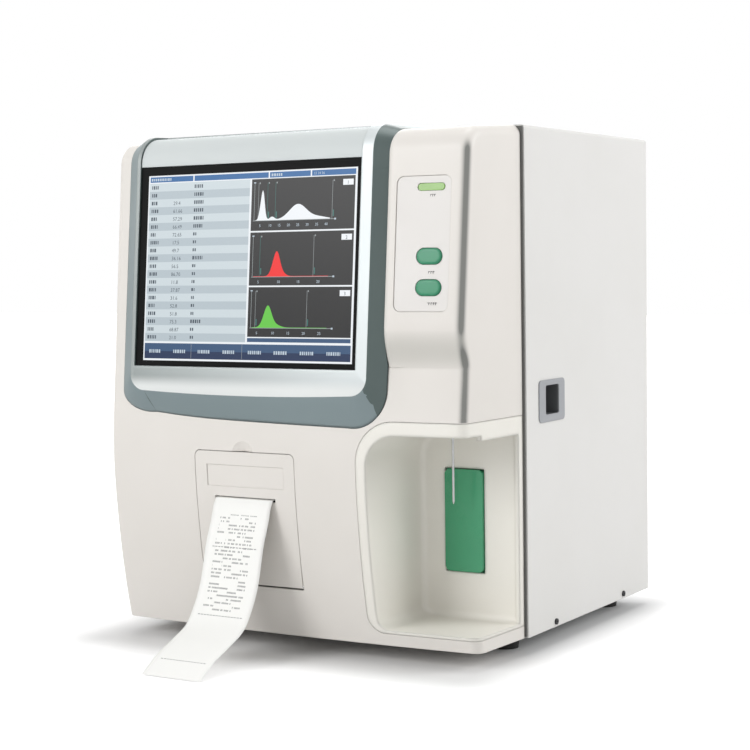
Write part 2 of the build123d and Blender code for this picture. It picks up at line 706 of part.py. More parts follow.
def make_rocker():
    # seesaw cap: two flats meeting at the pivot line
    pts = [(rear_y + 5.0, 52.6), (rear_y + 1.6, 60.0), (rear_y - 0.2, 68.2), (rear_y - 4.0, 67.4),
           (rear_y - 6.6, 60.0), (rear_y - 3.0, 52.8)]
    face = make_face(Polyline(*[(45.4, y, z) for y, z in pts], close=True))
    solid = extrude(face, 13.2, dir=(1, 0, 0))
    return solid + rod_x(rear_y - 4, 60, 44.2, 59.8, 1.0)


def make_data_ports():
    made = []
    for x, w in ((-20, 31), (-66, 31), (-104, 17), (-128, 15)):
        shell = box(x - w / 2 + 0.3, x + w / 2 - 0.3, rear_y - 12, rear_y + 3, 88.3, 99.7)
        shell -= box(x - w / 2 + 1.5, x + w / 2 - 1.5, rear_y - 6, rear_y + 4, 89.5, 98.5)
        made.append(shell)
    return Compound(made)


def make_fluid_ports():
    made = []
    for k in range(4):
        x = 40 + 30 * k
        part = rod_y(x, 150, rear_y - 10, rear_y, 4.8) + rod_y(x, 150, rear_y, rear_y + 3, 8)
        part += rod_y(x, 150, rear_y + 3, rear_y + 14, 3.2) + rod_y(x, 150, rear_y + 11, rear_y + 14, 4.0)
        made.append(part - rod_y(x, 150, rear_y - 8, rear_y + 20, 1.6))
    return Compound(made)


def make_earth_post():
    solid = rod_y(20, 60, rear_y - 6, rear_y + 12, 2.4)
    return solid + extrude(Pos(20, rear_y + 2, 60) * (Plane.XZ * RegularPolygon(4.6, 6)), 2.0)


def make_rear_screws():
    made = []
    for x in (-168, 168):
        for z in (40, 225, 410):
            made.append(rod_y(x, z, rear_y, rear_y + 1.8, 2.8))
    return Compound(made)


def make_key_board():
    plane = lean_plane(139.0, 340.0, pad_raise - bow(key_x))
    n = math.hypot(1, lean)
    board = extrude(plane * Pos(0, 0, -14.0) * Rectangle(50, 106), 1.6)
    for z in (print_z, sampling_z):
        board += extrude(plane * Pos(key_x - 139.0, (z - 340.0) * n, -12.4) * Rectangle(6.2, 6.2), 2.2)
    board += extrude(plane * Pos(key_x - 139.0, (lamp_z - 340.0) * n, -12.4) * Rectangle(18, 3), 4.0)
    return board


def make_button(z):
    plane = button_plane(z)
    cap = extrude(plane * Pos(0, 0, -5.6) * obround(22.4, 12.8), 7.2)
    top = cap.faces().sort_by(Axis(plane.origin, plane.z_dir))[-1]
    cap = fillet(top.edges(), 1.4)
    cap += extrude(plane * Pos(0, 0, -4.6) * obround(25.4, 15.8), 1.2)
    return cap + extrude(plane * Pos(0, 0, -7.0) * Circle(2.0), 2.0)


def make_lamp():
    plane = button_plane(lamp_z)
    solid = extrude(plane * Pos(0, 0, -3.0) * obround(23.8, 5.8), 3.5)
    top = solid.faces().sort_by(Axis(plane.origin, plane.z_dir))[-1]
    return fillet(top.edges(), 0.3)


def make_key_panel():
    # thin plate laid in the recess of the column
    region = rounded_outline(key_left_x + 0.25, key_right_x - 0.25, key_bottom_z + 0.25, key_top_z - 0.25,
                             5.7, 5.7, 5.7, 5.7)
    low = [(-150.0, 260.0), (front_y(260) - pad_raise + 0.7, 260.0)]
    plate = region & swept(section(pad_raise - 0.7, 0, 0, 22.0, low=low))
    low = [(-150.0, 259.0), (front_y(259) - pad_raise + 1.2, 259.0)]
    plate = plate - swept(section(pad_raise - 1.2, 0, 0, 22.0, low=low))
    return plate - key_openings()


def make_surround():
    frame = lean_box(surround_left_x + 0.2, surround_right_x - 0.2, surround_bottom_z + 0.2,
                     surround_top_z - 0.2, 4.8, 2.0)
    w, h = screen_width, screen_height / math.hypot(1, lean)
    cx, cz = screen_centre_x, screen_centre_z
    return frame - lean_box(cx - w / 2, cx + w / 2, cz - h / 2, cz + h / 2, 30, -30)


def make_screen():
    w, h = screen_width - 0.2, screen_height / math.hypot(1, lean) - 0.2
    cx, cz = screen_centre_x, screen_centre_z
    return lean_box(cx - w / 2, cx + w / 2, cz - h / 2, cz + h / 2, 4.3, 2.0)


def make_screen_module():
    return lean_box(surround_left_x + 3, surround_right_x - 3, surround_bottom_z + 3, surround_top_z - 3,
                    2.0, -9.0)


def write(name, shape):
    placed = Pos(0, place_y, 0) * shape
    export_step(placed, f"parts/{name}.step")
    extent = placed.bounding_box()
    print(name, [round(v, 1) for v in extent.min], [round(v, 1) for v in extent.max])


def main():
    os.makedirs("parts", exist_ok=True)
    base = skin()
    write("front_cover", make_front_cover(base))
    write("display_bezel", make_bezel(base))
    write("visor", make_visor(base))
    write("screen_surround", make_surround())
    write("screen_panel", make_screen())
    write("screen_module", make_screen_module())
    write("key_panel", make_key_panel())
    write("lamp_lens", make_lamp())
    write("print_button", make_button(print_z))
    write("sampling_button", make_button(sampling_z))
    write("key_board", make_key_board())
    write("sampling_bay", make_bay(base))
    write("start_plate", make_start_plate())
    write("start_bracket", make_start_bracket())
    write("start_switch", make_start_switch())
    write("probe_frame", make_probe_frame())
    write("probe_carriage", make_carriage())
    write("probe_needle", make_needle())
    write("guide_rods", Compound([rod_z(needle_x + dx, screw_y, 208, 384, 3.0) for dx in (-18, 18)]))
    write("lead_screw", make_lead_screw())
    write("probe_motor", box(needle_x - 16, needle_x + 16, -109, -77, 386, 418))
    write("printer_door", make_door(plain_skin()))
    write("door_pins", make_door_pins())
    write("printer_frame", make_printer_frame())
    write("print_head", make_print_head())
    write("platen_roller", rod_x(-157.5, 125, -58, -2, 5.0) - rod_x(-157.5, 125, -60, 0, 2.0))
    write("platen_shaft", rod_x(-157.5, 125, -73, 13, 2.0))
    write("paper_roll", rod_x(-128, 96, -58.8, -1.2, 22.0) - rod_x(-128, 96, -60, 0, 6.0))
    write("roll_spindle", rod_x(-128, 96, -73, 13, 6.0))
    write("paper_strip", make_paper())
    write("wrap_cover", make_wrap())
    write("case_screws", make_case_screws())
    write("side_grip_frames", make_grip_frames())
    write("side_grip_cups", make_grip_cups())
    write("front_plate", make_front_plate())
    write("base_tray", make_base_tray())
    write("feet", make_feet())
    write("foot_screws", make_foot_screws())
    write("rear_panel", make_rear_panel())
    write("fan_frame", make_fan_frame())
    write("fan_rotor", make_fan_rotor())
    write("fan_guard", make_fan_guard())
    write("fan_screws", make_fan_screws())
    write("mains_inlet", make_inlet())
    write("switch_frame", make_switch_frame())
    write("power_rocker", make_rocker())
    write("data_ports", make_data_ports())
    write("fluid_ports", make_fluid_ports())
    write("earth_post", make_earth_post())
    write("rear_screws", make_rear_screws())
    write("main_board", box(-160, -158.4, -40, 120, 16.5, 260))
    write("power_supply", box(-60, 60, 50, 150, 16.5, 72))


main()
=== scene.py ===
import bpy
import math
import random
from mathutils import Matrix, Vector


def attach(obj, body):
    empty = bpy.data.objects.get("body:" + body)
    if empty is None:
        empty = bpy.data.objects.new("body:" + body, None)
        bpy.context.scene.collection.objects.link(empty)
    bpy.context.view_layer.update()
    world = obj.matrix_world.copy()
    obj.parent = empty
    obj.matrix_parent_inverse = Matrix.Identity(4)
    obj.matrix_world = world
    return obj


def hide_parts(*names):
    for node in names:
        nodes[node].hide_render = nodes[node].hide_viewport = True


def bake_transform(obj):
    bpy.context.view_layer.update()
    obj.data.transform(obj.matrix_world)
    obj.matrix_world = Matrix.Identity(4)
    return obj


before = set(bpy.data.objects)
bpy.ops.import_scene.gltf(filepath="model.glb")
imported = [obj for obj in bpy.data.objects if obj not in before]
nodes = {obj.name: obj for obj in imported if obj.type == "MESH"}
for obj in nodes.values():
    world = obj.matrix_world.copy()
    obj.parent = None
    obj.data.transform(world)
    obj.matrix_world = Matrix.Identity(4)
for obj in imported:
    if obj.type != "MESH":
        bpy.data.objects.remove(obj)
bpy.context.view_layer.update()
mm = 0.001
placeY = 46.5  # the drawing's shift along Y, mm


def say(stage):
    print("scene:", stage)


def deselectAll():
    if bpy.context.mode != "OBJECT":
        bpy.ops.object.mode_set(mode="OBJECT")
    bpy.ops.object.select_all(action="DESELECT")


def pick(*objects):
    deselectAll()
    for obj in objects:
        obj.select_set(True)
    bpy.context.view_layer.objects.active = objects[-1]


def newest(name):
    obj = bpy.context.view_layer.objects.active
    obj.name = name
    obj.data.name = name
    return obj


def srgb(r, g, b):
    # a colour as it is read off a screen, 0 to 255, made linear
    levels = (c / 255 for c in (r, g, b))
    return tuple(v / 12.92 if v <= 0.04045 else ((v + 0.055) / 1.055) ** 2.4 for v in levels) + (1.0,)


def addNode(tree, kind, inputs=None, **settings):
    # one shader node: a plain value is set on its input, a socket is linked to it
    node = tree.nodes.new(kind)
    for name, value in settings.items():
        setattr(node, name, value)
    for key, value in (inputs or {}).items():
        if isinstance(value, bpy.types.NodeSocket):
            tree.links.new(value, node.inputs[key])
        else:
            node.inputs[key].default_value = value
    return node


def mathStep(tree, operation, *values):
    # the output of one Math node on one to three values or sockets
    return addNode(tree, "ShaderNodeMath", dict(enumerate(values)), operation=operation).outputs[0]


def mixColours(tree, factor, first, second):
    inputs = {"Factor": factor, "A": first, "B": second}
    return addNode(tree, "ShaderNodeMix", inputs, data_type="RGBA").outputs["Result"]


def smoothRamp(tree, value, start, end, amount=1.0):
    # runs softly from 0 at start to amount at end
    inputs = {"Value": value, "From Min": start, "From Max": end, "To Max": amount}
    return addNode(tree, "ShaderNodeMapRange", inputs, interpolation_type="SMOOTHSTEP").outputs["Result"]


def objectPlace(tree):
    # x, y and z of the piece's own coordinates
    where = addNode(tree, "ShaderNodeTexCoord")
    return addNode(tree, "ShaderNodeSeparateXYZ", {0: where.outputs["Object"]}).outputs


# camera
cameraSetup = {
    "place": (0.83323, -1.39137 + placeY * mm, 0.32686),
    "yaw": 31.152,
    "pitch": 3.6495,
    "roll": 0.8431,
    "lens": 86.205,
}


def makeCamera(c):
    yaw, pitch, roll = (math.radians(c[k]) for k in ("yaw", "pitch", "roll"))
    forward = Vector((-math.sin(yaw) * math.cos(pitch), math.cos(yaw) * math.cos(pitch), -math.sin(pitch)))
    right = Vector((math.cos(yaw), math.sin(yaw), 0))
    down = forward.cross(right)
    rightRolled = right * math.cos(roll) + down * math.sin(roll)
    downRolled = down * math.cos(roll) - right * math.sin(roll)
    data = bpy.data.cameras.new("camera")
    data.lens = c["lens"]
    data.sensor_width = 36.0
    data.clip_start, data.clip_end = 0.05, 60.0
    cam = bpy.data.objects.new("camera", data)
    bpy.context.scene.collection.objects.link(cam)
    turn = Matrix((rightRolled, -downRolled, -forward)).transposed()
    cam.matrix_world = Matrix.Translation(c["place"]) @ turn.to_4x4()
    bpy.context.scene.camera = cam


makeCamera(cameraSetup)
say("camera")

# studio: white surroundings, soft lamps, pale floor
studio = {
    "skyStrength": 0.45,
    "lamps": [
        {"name": "keyLamp", "place": (-1.4, -2.8, 1.6), "aim": (0, 0, 0.2), "size": 1.6, "power": 54},
        {"name": "fillLamp", "place": (0.8, -2.6, 0.9), "aim": (0.1, 0, 0.15), "size": 2.2, "power": 7},
        {"name": "sideLamp", "place": (2.5, 1.2, 1.4), "aim": (0, 0, 0.25), "size": 1.6, "power": 44},
        {"name": "topLamp", "place": (0.1, 0.3, 2.6), "aim": (0, 0, 0.4), "size": 1.4, "power": 19},
        {"name": "rearLamp", "place": (-1.6, 2.4, 1.8), "aim": (0, 0, 0.2), "size": 1.8, "power": 20},
    ],
    "floorSize": 16,
    "floorColour": (228, 228, 228),
    "floorRough": 0.9,
    "floorShine": 0.1,
    # painted light on the floor: its glow lifts it towards white, none under the case, where the shadow is left
    # dark, some around it, all of it far off
    "footprint": {"middle": (0.0, 0.045), "half": (0.172, 0.172)},
    "liftNear": 0.45,
    "liftEdge": 0.07,
    "liftFar": 0.6,
    "farFrom": 0.5,
    "farTo": 2.5,
}


def aimAt(obj, target):
    direction = Vector(target) - obj.location
    obj.rotation_mode = "QUATERNION"
    obj.rotation_quaternion = direction.to_track_quat("-Z", "Y")


def paintedFloorLight(tree, s):
    # strength of the floor's painted light from the place on the floor: nothing inside the case's footprint, more
    # away from it
    place = objectPlace(tree)
    outside = {}
    for axis in (0, 1):
        away = mathStep(tree, "SUBTRACT", place[axis], s["footprint"]["middle"][axis])
        past = mathStep(tree, "SUBTRACT", mathStep(tree, "ABSOLUTE", away), s["footprint"]["half"][axis])
        outside[axis] = mathStep(tree, "MAXIMUM", past, 0.0)
    pair = addNode(tree, "ShaderNodeCombineXYZ", outside)
    distance = addNode(tree, "ShaderNodeVectorMath", {0: pair.outputs[0]}, operation="LENGTH").outputs["Value"]
    near = smoothRamp(tree, distance, 0.0, s["liftEdge"], s["liftNear"])
    far = smoothRamp(tree, distance, s["farFrom"], s["farTo"], s["liftFar"])
    return mathStep(tree, "ADD", near, far)


def makeSky(s):
    # a soft grey sky lights the part; the camera, shiny faces and glass see plain white
    world = bpy.data.worlds.new("studioSky")
    bpy.context.scene.world = world
    world.use_nodes = True
    tree = world.node_tree
    background = tree.nodes["Background"]
    background.inputs["Color"].default_value = (1, 1, 1, 1)
    background.inputs["Strength"].default_value = s["skyStrength"]
    white = addNode(tree, "ShaderNodeBackground", {"Color": (1, 1, 1, 1), "Strength": 1.0})
    path = addNode(tree, "ShaderNodeLightPath").outputs
    seen = mathStep(tree, "MAXIMUM", path["Is Camera Ray"], path["Is Transmission Ray"])
    seen = mathStep(tree, "MAXIMUM", seen, path["Is Glossy Ray"])
    mix = addNode(tree, "ShaderNodeMixShader", {0: seen, 1: background.outputs[0], 2: white.outputs[0]})
    tree.links.new(mix.outputs[0], tree.nodes["World Output"].inputs["Surface"])


def makeLamps(s):
    for lamp in s["lamps"]:
        data = bpy.data.lights.new(lamp["name"], "AREA")
        data.shape = "SQUARE"
        data.size = lamp["size"]
        data.energy = lamp["power"]
        obj = bpy.data.objects.new(lamp["name"], data)
        bpy.context.scene.collection.objects.link(obj)
        obj.location = lamp["place"]
        aimAt(obj, lamp["aim"])


def makeFloor(s):
    deselectAll()
    bpy.ops.mesh.primitive_plane_add(size=s["floorSize"], location=(0, 0, 0))
    floor = newest("floor")
    mat = bpy.data.materials.new("paleFloor")
    mat.use_nodes = True
    tree = mat.node_tree
    shader = tree.nodes["Principled BSDF"]
    shader.inputs["Base Color"].default_value = srgb(*s["floorColour"])
    shader.inputs["Roughness"].default_value = s["floorRough"]
    shader.inputs["Specular IOR Level"].default_value = s["floorShine"]
    seen = addNode(tree, "ShaderNodeLightPath").outputs["Is Camera Ray"]
    strength = mathStep(tree, "MULTIPLY", seen, paintedFloorLight(tree, s))
    glow = addNode(tree, "ShaderNodeEmission", {"Color": (1, 1, 1, 1), "Strength": strength})
    both = addNode(tree, "ShaderNodeAddShader", {0: shader.outputs[0], 1: glow.outputs[0]})
    tree.links.new(both.outputs[0], tree.nodes["Material Output"].inputs["Surface"])
    floor.data.materials.append(mat)


makeSky(studio)
makeLamps(studio)
makeFloor(studio)
bpy.context.scene.view_settings.view_transform = "Standard"
say("studio")


# finishes: the parts of a finish that every material shares
moulded = {
    "patchDetail": 4, "grainDetail": 3, "grainRough": 0.6, "maskFrom": 0.35, "maskTo": 0.65, "share": 0.5,
    "roughSpread": 0.08, "bumpStrength": 0.35, "edgeSamples": 6, "coatRough": 0.12, "patch": 9.0, "shine": 0.5,
    "inputs": [
        ("Colour", "NodeSocketColor", (0.8, 0.8, 0.8, 1)), ("Second Colour", "NodeSocketColor", (0.75, 0.75, 0.75,
        1)),
        ("Patch Scale", "NodeSocketFloat", 9.0), ("Grain Scale", "NodeSocketFloat", 1800.0),
        ("Stretch", "NodeSocketVector", (1, 1, 1)), ("Roughness", "NodeSocketFloat", 0.5),
        ("Roughness Spread", "NodeSocketFloat", 0.05),
    ],
    "outputs": [("Colour", "NodeSocketColor"), ("Roughness", "NodeSocketFloat"), ("Height", "NodeSocketFloat")],
}


def makeFinishGroup(m):
    # colour and roughness that drift a little over the surface, and a fine height for the bump
    group = bpy.data.node_groups.new("mouldedFinish", "ShaderNodeTree")
    for name, kind, value in m["inputs"]:
        group.interface.new_socket(name=name, in_out="INPUT", socket_type=kind).default_value = value
    for name, kind in m["outputs"]:
        group.interface.new_socket(name=name, in_out="OUTPUT", socket_type=kind)
    enter = group.nodes.new("NodeGroupInput").outputs
    leave = group.nodes.new("NodeGroupOutput").inputs
    where = addNode(group, "ShaderNodeTexCoord").outputs["Object"]
    place = addNode(group, "ShaderNodeVectorMath", {0: where, 1: enter["Stretch"]}, operation="MULTIPLY").outputs[0]
    patches = addNode(group, "ShaderNodeTexNoise",
                      {"Detail": m["patchDetail"], "Vector": place, "Scale": enter["Patch Scale"]}).outputs[0]
    grain = addNode(group, "ShaderNodeTexNoise",
                    {"Detail": m["grainDetail"], "Roughness": m["grainRough"], "Vector": place,
                     "Scale": enter["Grain Scale"]}).outputs[0]
    mask = addNode(group, "ShaderNodeMapRange",
                   {"From Min": m["maskFrom"], "From Max": m["maskTo"], "Value": patches}).outputs["Result"]
    drift = mathStep(group, "MULTIPLY_ADD", grain, m["share"], mathStep(group, "MULTIPLY", mask, m["share"]))
    centred = mathStep(group, "SUBTRACT", drift, 0.5)
    rough = mathStep(group, "MULTIPLY_ADD", centred, enter["Roughness Spread"], enter["Roughness"])
    group.links.new(mixColours(group, drift, enter["Colour"], enter["Second Colour"]), leave["Colour"])
    group.links.new(rough, leave["Roughness"])
    group.links.new(grain, leave["Height"])
    return group


finishGroup = makeFinishGroup(moulded)

# the leaned front that carries the screen and the keys
frontLean = 0.09
frontTopY, frontTopZ = -157.0, 415.0
columnBack = 5.6  # the column's root lies this far behind the leaned front, mm

# the column's right side: half width at a place along Y, and how it tapers, mm
sideHalf, sideFromY, sideTaper = 180.5, 80.0, 0.05

# painted shade on the soft corner between the column's front and its right side, and on the step under the column;
# metres
columnPaintedShade = {
    "radius": 0.009, "raise": 0.0087, "stepLow": 0.242, "stepHigh": 0.268, "lowest": 0.2,
    "lean": frontLean, "frontAtZero": (frontTopY - frontLean * frontTopZ + columnBack + placeY) * mm,
    "taper": sideTaper, "sideAtZero": (sideHalf + sideTaper * (sideFromY - placeY)) * mm,
    # colour and amount of the painted shade on the corner
    "colour": (96, 99, 96), "amount": 0.85, "sharpness": 5.0,
    "stepMiddle": 0.256, "stepHalf": 0.016, "columnLeft": 0.105,
    # colour and amount of the painted shade on the step
    "stepShadeColour": (182, 181, 174), "stepShadeAmount": 0.6,
}

# every finish: its colour and the one it drifts to, roughness, grain scale, bump depth and edge radius in mm
finishes = {
    "coverWhite": {"colour": (221, 217, 212), "second": (216, 212, 206), "rough": 0.42,
                   "grain": 2600, "bump": 0.02, "edge": 0.9,
                   "corner": columnPaintedShade},
    "bayWhite": {"colour": (230, 228, 221), "second": (224, 221, 213), "rough": 0.45,
                 "grain": 2600, "bump": 0.02, "edge": 4.0},
    "bezelSilver": {"colour": (180, 190, 193), "second": (172, 183, 187), "rough": 0.42,
                    "grain": 3200, "bump": 0.015, "edge": 2.2, "metal": 0.25},
    "bezelFlank": {"colour": (126, 140, 143), "second": (119, 133, 136), "rough": 0.36,
                   "grain": 3200, "bump": 0.015, "edge": 2.0, "metal": 0.2},
    # a shaded copy of the flank's finish: painted shade on the right flank, which faces away from the key lamp
    "bezelFlankPaintedShade": {"colour": (84, 97, 95), "second": (78, 91, 90), "rough": 0.36,
                       "grain": 3200, "bump": 0.015, "edge": 1.2, "metal": 0.2},
    "visorSilver": {"colour": (200, 205, 205), "second": (194, 200, 200), "rough": 0.55,
                    "grain": 3200, "bump": 0.015, "edge": 0.6, "metal": 0.05, "shine": 0.3},
    "screenBlack": {"colour": (12, 13, 13), "second": (9, 10, 10), "rough": 0.5, "shine": 0.08,
                    "grain": 2400, "bump": 0.02, "edge": 0.6},
    "panelDark": {"colour": (18, 20, 23), "second": (16, 17, 20), "rough": 0.12,
                  "grain": 900, "bump": 0.0, "edge": 0.3},
    "keyPlate": {"colour": (220, 217, 214), "second": (215, 212, 208), "rough": 0.4,
                 "grain": 2600, "bump": 0.015, "edge": 0.4},
    "lampGreen": {"colour": (122, 166, 74), "second": (108, 152, 64), "rough": 0.3,
                  "grain": 900, "bump": 0.01, "edge": 0.5, "coat": 0.25, "glow": 0.1},
    "buttonTeal": {"colour": (36, 134, 96), "second": (30, 122, 86), "rough": 0.38,
                   "grain": 2800, "bump": 0.02, "edge": 3.2, "coat": 0.15},
    "plateGreen": {"colour": (58, 152, 108), "second": (50, 140, 98), "rough": 0.28,
                   "grain": 1600, "bump": 0.01, "edge": 0.5, "coat": 0.3},
    "casePaint": {"colour": (217, 216, 214), "second": (212, 211, 208), "rough": 0.5,
                  "grain": 1100, "bump": 0.06, "edge": 0.8},
    "gripGrey": {"colour": (156, 158, 162), "second": (148, 150, 155), "rough": 0.45,
                 "grain": 2200, "bump": 0.03, "edge": 0.5},
    "gripDark": {"colour": (92, 94, 97), "second": (84, 86, 88), "rough": 0.55,
                 "grain": 2200, "bump": 0.03, "edge": 0.4},
    "blackPlastic": {"colour": (34, 35, 37), "second": (28, 29, 31), "rough": 0.5,
                     "grain": 2000, "bump": 0.04, "edge": 0.5},
    "greyPlastic": {"colour": (150, 153, 155), "second": (140, 143, 146), "rough": 0.45,
                    "grain": 2000, "bump": 0.03, "edge": 0.4},
    "platedSteel": {"colour": (196, 198, 196), "second": (168, 172, 174), "rough": 0.38,
                    "grain": 160, "bump": 0.02, "edge": 0.4, "metal": 1.0, "patch": 60},
    "darkSteel": {"colour": (58, 58, 56), "second": (50, 50, 49), "rough": 0.6,
                  "grain": 300, "bump": 0.03, "edge": 0.3, "patch": 40},
    "groundSteel": {"colour": (206, 207, 208), "second": (188, 190, 192), "rough": 0.22,
                    "grain": 500, "bump": 0.01, "edge": 0.2, "metal": 1.0, "stretch": (1, 1, 8)},
    "milledAluminium": {"colour": (208, 210, 212), "second": (196, 198, 201), "rough": 0.35,
                        "grain": 700, "bump": 0.03, "edge": 0.4, "metal": 1.0, "stretch": (1, 12, 12)},
    "blackRubber": {"colour": (30, 30, 30), "second": (38, 38, 37), "rough": 0.8,
                    "grain": 1500, "bump": 0.06, "edge": 0.6},
    "jointGrey": {"colour": (96, 96, 93), "second": (88, 88, 86), "rough": 0.8,
                   "grain": 1500, "bump": 0.04, "edge": 0.4},
    "brassPost": {"colour": (206, 180, 118), "second": (190, 160, 98), "rough": 0.3,
                  "grain": 700, "bump": 0.02, "edge": 0.3, "metal": 1.0},
    "boardGreen": {"colour": (24, 92, 56), "second": (18, 80, 48), "rough": 0.4,
                   "grain": 500, "bump": 0.02, "edge": 0.2, "patch": 140},
    "paperPlain": {"colour": (246, 246, 243), "second": (241, 241, 237), "rough": 0.7,
                   "grain": 900, "bump": 0.03, "edge": 0.1},
}
materials = {}


def cornerShade(tree, colour, c):
    # painted shade: the moulding darkens where its front turns into its right side, as the sine of twice the angle
    # round the corner
    def step(operation, *values):
        return mathStep(tree, operation, *values)

    x, y, z = objectPlace(tree)
    raised = smoothRamp(tree, z, c["stepLow"], c["stepHigh"], -c["raise"])
    front = step("ADD", step("MULTIPLY_ADD", z, c["lean"], c["frontAtZero"]), raised)
    centreY = step("ADD", front, c["radius"])
    side = step("MULTIPLY_ADD", y, c["taper"], c["sideAtZero"])
    centreX = step("SUBTRACT", side, c["radius"])
    towardsSide = step("MAXIMUM", step("DIVIDE", step("SUBTRACT", x, centreX), c["radius"]), 0.0)
    towardsFront = step("MAXIMUM", step("DIVIDE", step("SUBTRACT", centreY, y), c["radius"]), 0.0)
    band = step("POWER", step("MULTIPLY", step("MULTIPLY", towardsSide, towardsFront), 2.0), c["sharpness"])
    above = step("GREATER_THAN", z, c["lowest"])
    amount = step("MULTIPLY", step("MINIMUM", band, 1.0), step("MULTIPLY", above, c["amount"]))
    # painted shade on the step under the column too, a little darker, on its front only
    fromStep = step("DIVIDE", step("ABSOLUTE", step("SUBTRACT", z, c["stepMiddle"])), c["stepHalf"])
    stepShade = step("MAXIMUM", step("SUBTRACT", 1.0, step("MULTIPLY", fromStep, fromStep)), 0.0)
    onColumn = step("MULTIPLY", step("GREATER_THAN", x, c["columnLeft"]), step("MINIMUM", towardsFront, 1.0))
    stepShadeAmount = step("MULTIPLY", step("MULTIPLY", stepShade, onColumn), c["stepShadeAmount"])
    colour = mixColours(tree, stepShadeAmount, colour, srgb(*c["stepShadeColour"]))
    return mixColours(tree, amount, colour, srgb(*c["colour"]))


def makeMaterial(name, f, m):
    mat = bpy.data.materials.new(name)
    mat.use_nodes = True
    tree = mat.node_tree
    shader = tree.nodes["Principled BSDF"]
    finish = addNode(tree, "ShaderNodeGroup", node_tree=finishGroup)
    values = {
        "Colour": srgb(*f["colour"]), "Second Colour": srgb(*f["second"]), "Patch Scale": f.get("patch", m["patch"]),
        "Grain Scale": f["grain"], "Stretch": f.get("stretch", (1, 1, 1)), "Roughness": f["rough"],
        "Roughness Spread": m["roughSpread"],
    }
    for socket, value in values.items():
        finish.inputs[socket].default_value = value
    colour = finish.outputs["Colour"]
    # painted shade on the column's corner and step
    if f.get("corner"):
        colour = cornerShade(tree, colour, f["corner"])
    tree.links.new(colour, shader.inputs["Base Color"])
    tree.links.new(finish.outputs["Roughness"], shader.inputs["Roughness"])
    edge = addNode(tree, "ShaderNodeBevel", {"Radius": f["edge"] * mm}, samples=m["edgeSamples"])
    bump = addNode(tree, "ShaderNodeBump", {"Strength": m["bumpStrength"], "Distance": f["bump"] * mm,
                                            "Height": finish.outputs["Height"], "Normal": edge.outputs[0]})
    tree.links.new(bump.outputs[0], shader.inputs["Normal"])
    shader.inputs["Metallic"].default_value = f.get("metal", 0.0)
    shader.inputs["Coat Weight"].default_value = f.get("coat", 0.0)
    shader.inputs["Coat Roughness"].default_value = m["coatRough"]
    shader.inputs["Specular IOR Level"].default_value = f.get("shine", m["shine"])
    if f.get("glow"):
        shader.inputs["Emission Color"].default_value = srgb(*f["colour"])
        shader.inputs["Emission Strength"].default_value = f["glow"]
    materials[name] = mat


for finishName, finishValues in finishes.items():
    makeMaterial(finishName, finishValues, moulded)

nodeFinish = {
    "front_cover": "coverWhite", "sampling_bay": "bayWhite", "printer_door": "coverWhite",
    "display_bezel": "bezelSilver", "visor": "visorSilver", "screen_surround": "screenBlack",
    "screen_panel": "panelDark", "screen_module": "platedSteel", "key_panel": "keyPlate",
    "lamp_lens": "lampGreen", "print_button": "buttonTeal", "sampling_button": "buttonTeal",
    "key_board": "boardGreen", "start_plate": "plateGreen", "start_bracket": "platedSteel",
    "start_switch": "blackPlastic", "probe_frame": "platedSteel", "probe_carriage": "milledAluminium",
    "probe_needle": "groundSteel", "guide_rods": "groundSteel", "lead_screw": "groundSteel",
    "probe_motor": "blackPlastic", "door_pins": "groundSteel", "printer_frame": "platedSteel",
    "print_head": "milledAluminium", "platen_roller": "blackRubber", "platen_shaft": "groundSteel",
    "paper_roll": "paperPlain", "roll_spindle": "blackPlastic", "paper_strip": "paperPlain",
    "wrap_cover": "casePaint", "case_screws": "blackPlastic", "side_grip_frames": "gripGrey",
    "side_grip_cups": "gripDark", "front_plate": "darkSteel", "base_tray": "platedSteel", "feet": "blackRubber",
    "foot_screws": "platedSteel", "rear_panel": "casePaint", "fan_frame": "blackPlastic",
    "fan_rotor": "blackPlastic", "fan_guard": "groundSteel", "fan_screws": "platedSteel",
    "mains_inlet": "blackPlastic", "switch_frame": "blackPlastic", "power_rocker": "blackPlastic",
    "data_ports": "platedSteel", "fluid_ports": "greyPlastic", "earth_post": "brassPost",
    "rear_screws": "platedSteel", "main_board": "boardGreen", "power_supply": "platedSteel",
}


def dressNodes():
    for name, obj in nodes.items():
        obj.data.materials.clear()
        obj.data.materials.append(materials[nodeFinish[name]])


dressNodes()
say("finishes on the frame's pieces")


def frontY(z):
    return frontTopY + frontLean * (z - frontTopZ)


def leanedPlace(x, z, out):
    # matrix of a flat that lies on the leaned front: X right, Y up the slope, Z outwards; mm in
    n = math.hypot(1, frontLean)
    across, up, outwards = Vector((1, 0, 0)), Vector((0, frontLean / n, 1 / n)), Vector((0, -1 / n, frontLean / n))
    turn = Matrix((across, up, outwards)).transposed().to_4x4()
    return Matrix.Translation(Vector((x, frontY(z) - out + placeY, z)) * mm) @ turn


# the screen's frame: silver front with painted light that brightens it to the right and at its lip, grey-green
# flanks, and painted shade on the right flank
bezel = {
    # painted light: from left to right the silver brightens, and the lip is lighter still
    "left": (145, 152, 151), "right": (206, 212, 213), "lip": (222, 225, 224),
    "leftX": -0.145, "rightX": 0.0925, "lipFrom": 0.233, "lipTo": 0.2215, "finish": "bezelSilver", "rollFrom": 0.4,
    "footTop": 217.0, "footLow": 185.0, "liftLeft": -121.0, "liftRight": 60.0, "lift": 14.5, "surfaceLean": 0.07,
    "dim": 0.07, "frontal": 0.985, "level": 0.1, "rightFlank": 0.3, "smooth": 24,
}


